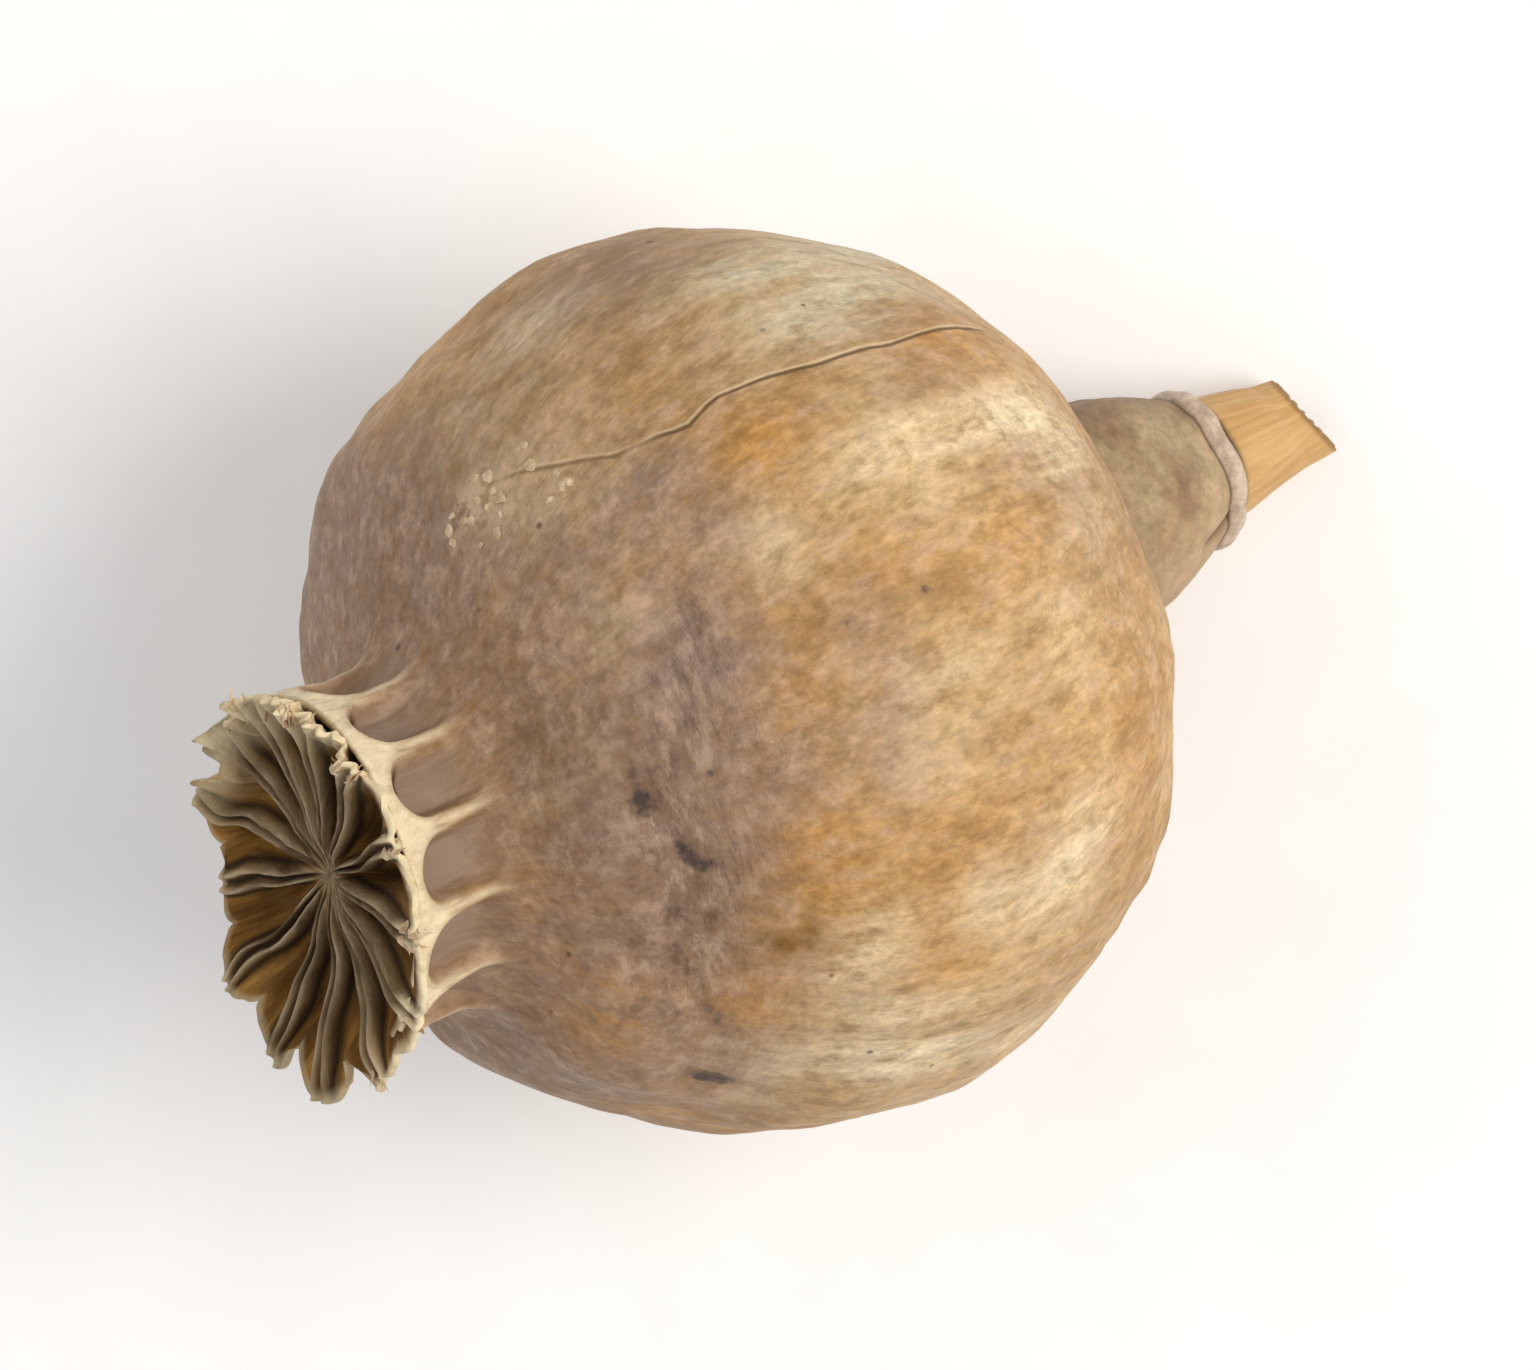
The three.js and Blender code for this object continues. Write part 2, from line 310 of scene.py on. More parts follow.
def inMm(tree):  # Object coordinates in mm
    at = addNode(tree, "ShaderNodeTexCoord").outputs["Object"]
    return addNode(tree, "ShaderNodeMapping", {"Vector": at, "Scale": (1000, 1000, 1000)})


def readMasks(tree, keys):  # the masks kept on the mesh, and where patterns that follow it are read
    mask = {key: addNode(tree, "ShaderNodeAttribute", attribute_name=key).outputs["Fac"] for key in keys}
    return mask, addNode(tree, "ShaderNodeAttribute", attribute_name="grain").outputs["Vector"]


def layCoats(tree, colour, coats):  # colours laid over one another, each as far as its share says
    for share, over in coats:
        colour = addNode(tree, "ShaderNodeMix", {0: share, 6: colour, 7: over}, data_type="RGBA")
    return colour


# Dried capsule wall, papery with a worn wax bloom: satin, mottled tan, streaked along the meridians.
def capsuleSkin():
    material, tree, shader = newMaterial("driedCapsuleSkin")
    body = inMm(tree)
    mask, grain = readMasks(tree, (
        "web", "window", "slitShade", "bruise", "crackAside", "crackLength", "shadeAndBrown", "mauve", "green", "gold",
        "pale", "blotch", "resin", "scatter"))

    def shown(pattern, low, high, amount, part):  # a mask, kept where a pattern runs from low to high
        share = addNode(tree, "ShaderNodeMapRange", {0: pattern, 1: low, 2: high, 4: amount})
        return addNode(tree, "ShaderNodeMath", {0: part, 1: share}, operation="MULTIPLY")

    # Ground colour in clouds about 9 mm across.
    clouds = addNode(tree, "ShaderNodeTexNoise", {
        "Vector": body, "Scale": 1 / 9, "Detail": 6.0, "Roughness": 0.62})
    colour = addNode(tree, "ShaderNodeValToRGB", {0: clouds}, stops=[
        (0.34, "#a07a4d"), (0.5, "#b7915f"), (0.66, "#cdab78")])

    # Patches of bloom and sunburn, pale patches of bleaching with painted highlights, and brown patches with
    # painted shade, all with torn edges. Each is laid over the last.
    tear = addNode(tree, "ShaderNodeTexNoise", {
        "Vector": body, "Scale": 0.55, "Detail": 7.0, "Roughness": 0.68})
    torn = addNode(tree, "ShaderNodeMapRange", {0: tear, 1: 0.3, 2: 0.62, 3: 0.45, 4: 1.1})
    along = addNode(tree, "ShaderNodeMapping", {"Vector": grain, "Scale": (0.34, 0.34, 0.06)})
    streak = addNode(tree, "ShaderNodeTexNoise", {
        "Vector": along, "Scale": 1.0, "Detail": 6.0, "Roughness": 0.65})
    streaky = addNode(tree, "ShaderNodeMapRange", {0: streak, 1: 0.4, 2: 0.62, 3: 0.25, 4: 1.15})
    coats = []
    for key, edge, code in (
            ("shadeAndBrown", torn, "#8d6b4b"), ("mauve", torn, "#9a8070"), ("green", streaky, "#d2c6a6"),
            ("gold", streaky, "#c28e4a"), ("pale", streaky, "#eedab4")):
        share = addNode(tree, "ShaderNodeMath", {0: mask[key], 1: edge}, operation="MULTIPLY", use_clamp=True)
        coats.append((share, code))

    # Mottling about 1 mm across and longer along the axis, pinkish against yellowish.
    drawn = addNode(tree, "ShaderNodeMapping", {
        "Vector": body, "Rotation": (math.pi / 2 - tilt, 0, 0), "Scale": (1, 1, 1.9)}, vector_type="TEXTURE")
    mottle = addNode(tree, "ShaderNodeTexNoise", {
        "Vector": drawn, "Scale": 0.9, "Detail": 5.0, "Roughness": 0.68})
    for full, code in ((0.66, "#cfae92"), (0.34, "#946d3a")):
        coats.append((addNode(tree, "ShaderNodeMapRange", {0: mottle, 1: 0.5, 2: full, 4: 0.55}), code))

    # On the shoulder, where brown patches and painted shade lie, the bloom is rubbed into pale flecks with
    # brown between them.
    rub = addNode(tree, "ShaderNodeTexNoise", {
        "Vector": drawn, "Scale": 1.7, "Detail": 4.0, "Roughness": 0.6})
    coats.append((shown(rub, 0.52, 0.66, 0.4, mask["shadeAndBrown"]), "#b99b7e"))
    coats.append((shown(rub, 0.48, 0.35, 0.35, mask["shadeAndBrown"]), "#674a30"))
    colour = layCoats(tree, colour, coats)

    # Fibres of the wall, about 0.4 mm apart, lighter and darker in turn, and dust in the pores.
    fine = addNode(tree, "ShaderNodeMapping", {"Vector": grain, "Scale": (2.2, 2.2, 0.3)})
    fibres = addNode(tree, "ShaderNodeTexNoise", {
        "Vector": fine, "Scale": 1.0, "Detail": 3.0, "Roughness": 0.7})
    fibreTone = addNode(tree, "ShaderNodeMapRange", {0: fibres, 1: 0.3, 2: 0.7, 3: 0.93, 4: 1.07})
    dust = addNode(tree, "ShaderNodeTexNoise", {
        "Vector": drawn, "Scale": 2.2, "Detail": 5.0, "Roughness": 0.7})
    dustTone = addNode(tree, "ShaderNodeMapRange", {0: dust, 1: 0.3, 2: 0.7, 3: 0.73, 4: 1.27})
    calm = addNode(tree, "ShaderNodeMath", {0: mask["shadeAndBrown"], 1: 0.5}, operation="MULTIPLY")
    dustTone = addNode(tree, "ShaderNodeMix", {0: calm, 2: dustTone, 3: 1.0})
    tone = addNode(tree, "ShaderNodeMath", {0: fibreTone, 1: dustTone}, operation="MULTIPLY")
    colour = addNode(tree, "ShaderNodeVectorMath", {0: colour, "Scale": tone}, operation="SCALE")

    # The pinched crease near the neck: a grey-violet stain, puckered across, with nearly black spots.
    stained = addNode(tree, "ShaderNodeMath", {0: mask["bruise"], 1: 0.4}, operation="MULTIPLY")
    crossways = addNode(tree, "ShaderNodeMapping", {"Vector": grain, "Scale": (0.45, 0.45, 1.7)})
    pucker = addNode(tree, "ShaderNodeTexNoise", {
        "Vector": crossways, "Scale": 1.0, "Detail": 4.0, "Roughness": 0.65})
    halo = addNode(tree, "ShaderNodeMath", {0: mask["blotch"], 1: 0.5}, operation="MULTIPLY", use_clamp=True)
    pits = addNode(tree, "ShaderNodeMath", {0: rub, 1: mask["blotch"]}, operation="MULTIPLY")
    dark = addNode(tree, "ShaderNodeMapRange", {0: pits, 1: 0.32, 2: 0.52, 4: 0.85})
    gum = addNode(tree, "ShaderNodeMath", {0: mask["resin"], 1: torn}, operation="MULTIPLY", use_clamp=True)
    coats = [
        (stained, "#8b766e"), (shown(pucker, 0.53, 0.65, 0.65, mask["bruise"]), "#c4a993"),
        (shown(pucker, 0.47, 0.34, 0.65, mask["bruise"]), "#5f493c"), (halo, "#7c6049"), (dark, "#463a3a"),
        (shown(rub, 0.45, 0.56, 0.8, mask["scatter"]), "#cfb292"), (gum, "#7d5418")]

    # Windows grey and dull, with painted shade as a dark slit under the rim in places, webs and rim cream.
    hollow = addNode(tree, "ShaderNodeMath", {0: mask["window"], 1: 0.85}, operation="MULTIPLY")
    worn = addNode(tree, "ShaderNodeMapRange", {0: dust, 1: 0.3, 2: 0.55, 3: 0.6, 4: 1.0})
    bare = addNode(tree, "ShaderNodeMath", {0: mask["web"], 1: worn}, operation="MULTIPLY")
    coats += [(hollow, "#998575"), (mask["slitShade"], "#30241a"), (bare, "#f0dfbc")]

    # Mould specks 0.3 to 0.6 mm across, on one cell in five.
    cells = addNode(tree, "ShaderNodeTexVoronoi", {"Vector": body, "Scale": 0.5}).outputs
    lot = addNode(tree, "ShaderNodeSeparateColor", {0: cells["Color"]})
    chosen = addNode(tree, "ShaderNodeMapRange", {0: lot, 1: 0.78, 2: 0.98, 3: 0.0, 4: 0.14})
    inside = addNode(tree, "ShaderNodeMath", {0: chosen, 1: cells["Distance"]}, operation="SUBTRACT")
    coats.append((addNode(tree, "ShaderNodeMapRange", {0: inside, 1: 0.0, 2: 0.05, 4: 0.75}), "#4b3a33"))

    # The crack is a thin dark line of painted shade and shadow under its proud upper lip, with a painted
    # highlight along that lip.
    for place, width, amount, code in ((0.17, 0.11, 0.5, "#e8d2ac"), (0.0, 0.13, 0.85, "#5f452c")):
        away = addNode(tree, "ShaderNodeMath", {0: mask["crackAside"], 1: place}, operation="SUBTRACT")
        away = addNode(tree, "ShaderNodeMath", {0: away}, operation="ABSOLUTE")
        coats.append((shown(away, width, 0.25 * width, amount, mask["crackLength"]), code))
    colour = layCoats(tree, colour, coats)

    gloss = addNode(tree, "ShaderNodeMapRange", {0: dust, 1: 0.3, 2: 0.7, 3: 0.45, 4: 0.66})
    rough = addNode(tree, "ShaderNodeMath", {0: fibres, 1: dust}, operation="ADD")
    rough = addNode(tree, "ShaderNodeMath", {0: rough, 1: mottle}, operation="ADD")
    folds = addNode(tree, "ShaderNodeMapRange", {0: pucker, 1: 0.3, 2: 0.7, 3: -1.0, 4: 1.0})
    rough = addNode(tree, "ShaderNodeMath", {0: folds, 1: mask["bruise"], 2: rough}, operation="MULTIPLY_ADD")
    bump = addNode(tree, "ShaderNodeBump", {"Strength": 0.5, "Distance": 0.11 * mm, "Height": rough})
    setInputs(tree, shader, {
        "Base Color": colour, "Roughness": gloss, "Normal": bump, "IOR": 1.45, "Specular IOR Level": 0.28})
    return material


# Dried stigma disc: velvety grey-brown ridges with black-brown seams and painted shadow lines beside them,
# ochre membrane between them, with painted shade deep in the valleys.
def crownTissue():
    material, tree, shader = newMaterial("driedStigmaDisc")
    body = inMm(tree)
    mask, grain = readMasks(tree, ("ridge", "seamAndShadow", "valleyShade", "rim"))
    fan = addNode(tree, "ShaderNodeMapping", {"Vector": grain, "Scale": (1.4, 1.4, 0.2)})
    fibres = addNode(tree, "ShaderNodeTexNoise", {
        "Vector": fan, "Scale": 1.0, "Detail": 4.0, "Roughness": 0.65})
    worn = addNode(tree, "ShaderNodeTexNoise", {
        "Vector": body, "Scale": 0.8, "Detail": 5.0, "Roughness": 0.65})
    colour = addNode(tree, "ShaderNodeValToRGB", {0: fibres}, stops=[
        (0.3, "#5a3b12"), (0.5, "#886027"), (0.7, "#ba8c48")])
    dusky = addNode(tree, "ShaderNodeMapRange", {0: worn, 1: 0.5, 2: 0.64, 4: 0.35})
    velvetTone = addNode(tree, "ShaderNodeValToRGB", {0: fibres}, stops=[(0.36, "#6f5c43"), (0.6, "#cdb898")])
    velvet = addNode(tree, "ShaderNodeMath", {0: mask["ridge"], 1: 0.92}, operation="MULTIPLY")
    seamAndShadow = addNode(tree, "ShaderNodeMath", {0: mask["seamAndShadow"], 1: 0.9}, operation="MULTIPLY")
    chipped = addNode(tree, "ShaderNodeMapRange", {0: worn, 1: 0.3, 2: 0.52, 3: 0.45, 4: 1.0})
    edge = addNode(tree, "ShaderNodeMath", {0: mask["rim"], 1: chipped}, operation="MULTIPLY")
    colour = layCoats(tree, colour, (
        (dusky, "#7d6040"), (mask["valleyShade"], "#432a06"), (velvet, velvetTone), (seamAndShadow, "#1c1209"),
        (edge, "#efdfba")))
    wrinkles = addNode(tree, "ShaderNodeMath", {0: fibres, 1: worn}, operation="ADD")
    bump = addNode(tree, "ShaderNodeBump", {"Strength": 0.7, "Distance": 0.2 * mm, "Height": wrinkles})
    setInputs(tree, shader, {
        "Base Color": colour, "Normal": bump, "Roughness": 0.8, "Specular IOR Level": 0.2})
    return material


# Straw-like stalk: golden and smooth below the scar ring, weathered grey-brown on the receptacle.
def stalkStraw():
    material, tree, shader = newMaterial("driedStalkStraw")
    body = inMm(tree)
    mask, grain = readMasks(tree, ("straw", "ring", "groove", "cut", "side"))
    clouds = addNode(tree, "ShaderNodeTexNoise", {
        "Vector": body, "Scale": 0.3, "Detail": 5.0, "Roughness": 0.62})
    weathered = addNode(tree, "ShaderNodeValToRGB", {0: clouds}, stops=[
        (0.34, "#8c6f50"), (0.46, "#a08562"), (0.55, "#ac9872"), (0.66, "#c2a281")])
    grit = addNode(tree, "ShaderNodeTexNoise", {
        "Vector": body, "Scale": 1.6, "Detail": 5.0, "Roughness": 0.7})
    gritTone = addNode(tree, "ShaderNodeMapRange", {0: grit, 1: 0.3, 2: 0.7, 3: 0.72, 4: 1.28})
    colour = addNode(tree, "ShaderNodeVectorMath", {0: weathered, "Scale": gritTone}, operation="SCALE")
    lines = addNode(tree, "ShaderNodeMapping", {"Vector": grain, "Scale": (2.2, 2.2, 0.2)})
    fibres = addNode(tree, "ShaderNodeTexNoise", {
        "Vector": lines, "Scale": 1.0, "Detail": 4.0, "Roughness": 0.6})
    golden = addNode(tree, "ShaderNodeValToRGB", {0: fibres}, stops=[
        (0.3, "#c39557"), (0.5, "#d0a468"), (0.7, "#dcb67c")])
    ringTone = addNode(tree, "ShaderNodeValToRGB", {0: grit}, stops=[(0.4, "#b8a18c"), (0.6, "#dac6b2")])
    lit = addNode(tree, "ShaderNodeMapRange", {0: mask["side"], 1: 0.1, 2: 0.9, 4: 0.5})
    shaded = addNode(tree, "ShaderNodeMapRange", {0: mask["side"], 1: -0.45, 2: -1.0, 4: 0.6})
    # painted shade in the grooves and towards the pod is laid last
    colour = layCoats(tree, colour, (
        (lit, "#bf9b74"), (shaded, "#80603f"), (mask["straw"], golden), (mask["cut"], "#8a6231"),
        (mask["ring"], ringTone), (mask["groove"], "#4f3b22")))
    rough = addNode(tree, "ShaderNodeMath", {0: fibres, 1: grit}, operation="ADD")
    bump = addNode(tree, "ShaderNodeBump", {"Strength": 0.6, "Distance": 0.14 * mm, "Height": rough})
    setInputs(tree, shader, {"Base Color": colour, "Normal": bump, "Roughness": 0.55})
    return material


print("pod: one ribbed wedge, repeated round the axis")
pod = {
    "columnsPerRay": 40,
    "ribHeight": 0.28,
    "spineHeight": 0.22,
    "dentDepth": 0.45,
    "neckFrom": 16.2,
    "neckTo": 20.2,
    "neckTop": 24.4,
    "flare": 0.6,
    "shoulderSoftness": 0.35,
    "windowDepth": 1.0,
    "windowTop": 23.75,
    "windowHalfWidth": 1.62,
    "lipHeight": 0.12,
    "lengthSpread": 0.0,
    "droopSpread": 0.0,
    "unevenness": 0.22,
    "waveSize": 4.0,
    "creaseDepth": 0.42,
    "crackLip": 0.05,
    "blotchDepth": 0.12,
}

# Marks on the skin, painted highlights and painted shade among them: degrees round the pod from its top side,
# mm up its axis, mm wide, mm tall, strength.
marks = {
    # pale patches: bleached skin, and painted highlights on the side towards the light
    "pale": [
        (-15, -7, 2.9, 4, 0.9), (-10, -10, 4, 3, 0.7), (-13, -1, 3, 2.5, 0.8), (-15.5, 2, 2, 2.5, 0.6),
        (11, -4, 3, 2, 0.5), (11, 1, 2, 3, 0.4), (4, -7, 2, 2, 0.3), (36, -3, 3.5, 3, 0.7),
        (43, -1, 2.5, 2.5, 0.5), (40, 7.6, 2.2, 1.6, 0.5), (38.5, 3, 2.5, 2, 0.6),
        (-14.5, 6.8, 2, 1.4, 0.6), (63, 4, 3.5, 3, 0.9), (62, 7, 4, 2.5, 0.9), (-25.5, -2, 1.5, 2.2, 0.4),
        (-36, 3.5, 1.2, 1.8, 0.35), (-67, 6, 2.2, 2.5, 0.9), (-18, 13.8, 2.2, 1.6, 0.3),
        (2, 17, 1.5, 1.5, 0.25), (72, 10.8, 4, 1.5, 0.7), (46, 9, 2, 1.6, 0.5), (18, 4, 3, 3, 0.3),
        (-44, 4, 3, 3, 0.4), (-48, 13, 2.5, 2, 0.5), (78, -1, 5, 5, 0.7), (118, -6, 6, 5, 0.8),
        (150, 5, 6, 4, 0.7), (-105, -2, 6, 6, 0.7), (-150, -8, 6, 5, 0.8), (185, -3, 5, 7, 0.7)],
    "gold": [
        (-3, -3, 3.5, 4, 0.9), (-8, 2.5, 3, 2.5, 0.7), (0, 8.5, 2.5, 2, 0.7), (30, 10, 3.5, 1.8, 0.9),
        (31, 4.9, 3.5, 4, 0.8), (30, -6, 4, 5, 0.8), (43, 5, 3, 1.6, 0.5), (50.5, 4.5, 2.2, 2.5, 0.8),
        (-27, 5, 2.5, 2.2, 0.9), (-17, 14.5, 2, 2, 0.3), (-27, -8, 3, 4, 1.1), (54, 12.5, 4.5, 1.6, 0.9),
        (65, 16, 4, 1.2, 0.8), (30, 17.2, 1.2, 1.6, 0.7), (-43, 5, 2.5, 3, 0.6), (100, 6, 5, 5, 0.8),
        (96, 12, 5, 1.5, 0.7), (-38, 16.5, 3, 2, 0.3), (88, 11, 4, 2, 0.4), (135, -3, 5, 6, 0.8),
        (-90, 7, 5, 5, 0.7), (-130, 2, 5, 7, 0.8), (165, -10, 7, 5, 0.7)],
    # brown patches and painted shade, the shade mostly on the lower side
    "shadeAndBrown": [
        (-62, 0, 4, 4, 0.5), (87, 11, 4, 2.5, 0.5), (83, 17, 5, 2.5, 0.3), (-27, -8.5, 3, 3, 0.3),
        (-7.5, 4, 2.5, 2, 0.25), (8.5, 14.3, 1.6, 1.5, 0.6), (72, 12.3, 1.8, 1.5, 0.5),
        (90, 15.5, 3, 2, 0.4), (-28, 9, 2, 2.5, 0.4), (-6, -10, 2.5, 2, 0.35), (-2, 12.5, 1.5, 1.5, 0.5),
        (-2.5, 0.3, 1.6, 1.8, 0.3), (150, -8, 6, 4, 0.4), (-140, -4, 6, 5, 0.4)],
    "green": [
        (-46, -1, 3.5, 3.5, 1.0), (-48, -5, 4, 4, 1.0), (-54, -9.5, 4, 3.5, 0.9), (-39, -2, 2, 3, 0.7),
        (-78, -9, 4, 4, 0.5), (125, -13, 6, 4, 0.6), (200, 8, 5, 5, 0.5)],
    "mauve": [
        (-61, 15, 6, 4, 0.6), (22, 16.8, 4, 2, 0.7), (-30, 15, 5, 3.5, 0.8), (-8, 13, 4, 3.5, 0.8),
        (-4, 10.8, 3, 2, 0.5), (16, 11.5, 4, 3.5, 0.8), (6, 5.4, 4, 2, 0.7), (-19, 8, 2, 2, 0.6),
        (-30, 9.2, 3, 2.5, 0.9), (19.5, 6, 2, 1.6, 0.5), (-49, 9, 2.5, 2.5, 0.4), (-36, -4.4, 1, 3, 0.6),
        (-24, -3.5, 1, 2.5, 0.6), (45, 10.5, 3, 2, 0.4), (52, 16.5, 6, 2, 0.7), (-70, 4, 5, 6, 0.6),
        (95, 15.5, 8, 3, 0.8), (140, 13, 9, 4, 0.8), (190, 14, 9, 4, 0.8), (-120, 13, 9, 4, 0.8),
        (-95, 14, 7, 4, 0.8), (170, 0, 5, 4, 0.6)],
    "blotch": [
        (13.6, 15.1, 0.75, 0.55, 1.0), (22.6, 14.3, 0.75, 0.5, 1.0), (25.8, 13.7, 0.5, 0.55, 1.0),
        (7, 14.7, 1.2, 1.2, 0.8), (26.5, 15.8, 0.9, 0.6, 0.7), (30.4, 14.2, 0.6, 0.8, 0.6),
        (45.2, 14.9, 0.9, 0.4, 0.6), (75.8, 12.8, 0.9, 0.8, 1.0), (75.9, 11.9, 0.6, 0.5, 0.8),
        (-12.5, 17.3, 1.0, 0.7, 0.65), (49.7, 18.4, 0.6, 0.5, 0.65), (11.4, 12.8, 0.4, 0.4, 0.8),
        (37.1, 13.7, 0.7, 0.6, 0.6), (-0.3, 2, 0.5, 0.45, 1.0), (-0.7, 5.9, 0.5, 0.4, 1.0),
        (-6.5, 9.4, 0.55, 0.45, 0.8), (-8.4, 0.9, 0.45, 0.4, 0.7), (11, -10.5, 0.5, 0.4, 0.9),
        (-9.9, 12.6, 0.5, 0.8, 0.8), (40, -3, 0.4, 0.3, 0.8), (128, 3, 0.8, 0.7, 1.0),
        (-118, 6, 0.7, 0.6, 1.0), (164, 11, 0.9, 0.7, 1.0)],
    "resin": [
        (40.5, 11.4, 0.6, 0.5, 1.2), (38, 10.6, 1.0, 0.5, 0.8)],
    "scatter": [
        (-57, 14.5, 0.9, 0.7, 1), (-55.5, 13.8, 0.8, 0.8, 1), (-52, 13.8, 0.9, 0.8, 1),
        (-48, 13.4, 0.8, 0.6, 0.8), (-42, 11.9, 0.7, 0.6, 0.7), (-49, 11.6, 0.6, 0.5, 0.7),
        (140, 9, 1.0, 0.8, 0.7)],
}
creasePath = [  # degrees round the pod and height in mm
    (-20, 10.8), (-12.6, 11.8), (-3, 12.8), (4, 13.7), (13, 14.9), (24, 14.2), (36, 14.9), (46, 14.6),
    (90, 12.5)]
crackPath = [
    (-33, -11.5), (-32.4, -10.2), (-31.2, -4.6), (-32, -0.1), (-33.8, 2.9), (-34.5, 5.1), (-33.5, 6.6),
    (-34.4, 7.5), (-37.9, 9.6), (-46.8, 11.9), (-52, 13.0), (-54, 13.2)]
slitShadeWindows = [11, 12, 4, 8]  # windows that get a dark slit of painted shade under the rim


def spread(key, degrees, level, radius):  # a mask of soft patches, read off the list of marks
    total = np.zeros_like(level)
    for place, height, wide, tall, strength in marks[key]:
        aside = (degrees - place + 180) % 360 - 180
        across = np.radians(aside) * radius / wide
        total += strength * np.exp(-(across ** 2) - ((level - height) / tall) ** 2)
    return np.clip(total, 0, 1.3)


def pathDistance(path, degrees, level, radius):  # mm from a line drawn on the skin, negative on its right
    nearest = np.full_like(level, 1e3)
    along = np.zeros_like(level)
    for step, ((a0, l0), (a1, l1)) in enumerate(zip(path, path[1:])):
        x, y = np.radians(degrees - a0) * radius, level - l0
        dx, dy = np.radians(a1 - a0) * radius, l1 - l0
        t = np.clip((x * dx + y * dy) / (dx * dx + dy * dy), 0, 1)
        away = np.hypot(x - t * dx, y - t * dy)
        closer = away < np.abs(nearest)
        nearest = np.where(closer, np.where(dx * y - dy * x > 0, away, -away), nearest)
        along = np.where(closer, (step + t) / (len(path) - 1), along)
    return nearest, along


def podWedge():
    slope = np.radians(np.concatenate([np.linspace(-86, 18, 54), np.linspace(18, 57, 52)[1:]]))
    below = np.where(slope < 0, head["podBaseDepth"], head["podTopHeight"]) * np.sin(slope)
    levels = np.concatenate([below, np.linspace(below[-1], pod["neckTop"], 62)[1:]])
    u, level = np.meshgrid(np.linspace(-0.5, 0.5, pod["columnsPerRay"] + 1), levels)
    depth = np.where(level < 0, head["podBaseDepth"], head["podTopHeight"])
    soft = pod["shoulderSoftness"]
    easedOff = level - soft * np.log1p(np.exp((level - head["shoulderLimit"]) / soft))
    flank = head["podRadius"] * np.sqrt(1 - (easedOff / depth) ** 2)
    neck = ease(level, pod["neckFrom"], pod["neckTo"])
    rib = (0.5 + 0.5 * np.cos(2 * math.pi * u)) * (1 - neck) * ease(level, -head["podBaseDepth"], -12)
    envelope = flank + (head["neckRadius"] - flank) * neck + pod["flare"] * ease(level, 20.5, pod["neckTop"])

    # Distance into the window, whose top is a half circle. The wall sinks in towards it.
    top = pod["windowTop"]
    across = (0.5 - np.abs(u)) * pitch * (head["neckRadius"] + 0.3)
    above = np.maximum(level - (top - pod["windowHalfWidth"]), 0)
    inside = pod["windowHalfWidth"] - np.hypot(across, above)
    window = ease(inside, -0.05, 0.55)
    lip = bell(inside + 0.08, 0.15) * ease(level, 18.5, 21)
    spine = bell(u, 0.06) * ease(level, 17.2, 19.8)
    radius = envelope + pod["ribHeight"] * rib + pod["lipHeight"] * lip
    radius += pod["spineHeight"] * spine * (1 - ease(level, 20.5, 22))
    scoop = ease(level, 18.0, 21.5) * (1 - 0.35 * ease(level, top - 1.5, top))
    radius -= pod["windowDepth"] * window * scoop

    points = polar(radius, u * pitch, level)
    rim = ease(inside, 0.02, -0.25) * ease(level, 21.4, 22.8)
    fringe = 0.75 * spine * ease(level, 18.2, 20.8)
    edge = 0.75 * lip * ease(level, 21.0, 22.4)
    masks = {
        "level": level,
        "window": window * ease(level, 17.8, 21.5),
        # a crescent of painted shade under the rim, where a pore opens
        "slitShade": bell(inside - 0.32, 0.16) * ease(level, top - 1.2, top - 0.6),
        "web": np.clip(np.maximum(np.maximum(rim, fringe), edge), 0, 1),
        "lobe": 0 * u,
    }

    # The neck ends inside the crown, dished so that it stays under the crown's hollows.
    steps = ((0.97, 0.05), (0.92, 0.2), (0.84, 0.9), (0.7, 1.8), (0.4, 2.8))
    dish = [points[-1:] * (share, share, 1) - (0, 0, drop) for share, drop in steps]
    points = np.concatenate([points] + dish)
    masks = {key: np.concatenate([values] + [values[-1:]] * len(steps)) for key, values in masks.items()}
    masks["web"][-len(steps) + 1:] = 0
    faces = gridFaces(*points.shape[:2], closed=False)
    poles = [[0, 0, levels[0] - 0.02], [0, 0, pod["neckTop"] - 2.9]]
    points = np.concatenate([points.reshape(-1, 3), poles])
    masks = {key: np.concatenate([values.ravel(), [0, 0]]) for key, values in masks.items()}
    masks["level"][-2:] = levels[0], pod["neckTop"]
    return points, faces, masks


def wholeRing(name, wedge, shape, seed, material):  # one ray's wedge, repeated round the axis
    part = meshObject(name + "Wedge", *wedge)
    piece = bakeTree(name, ringTree, {
        "Wedge": part, "Rays": head["rays"], "Seed": seed, "Length Spread": shape["lengthSpread"],
        "Droop Spread": shape["droopSpread"] * mm, "Unevenness": shape["unevenness"] * mm,
        "Wave Size": shape["waveSize"] * mm, "Finish": material})
    bpy.data.objects.remove(part)
    return piece


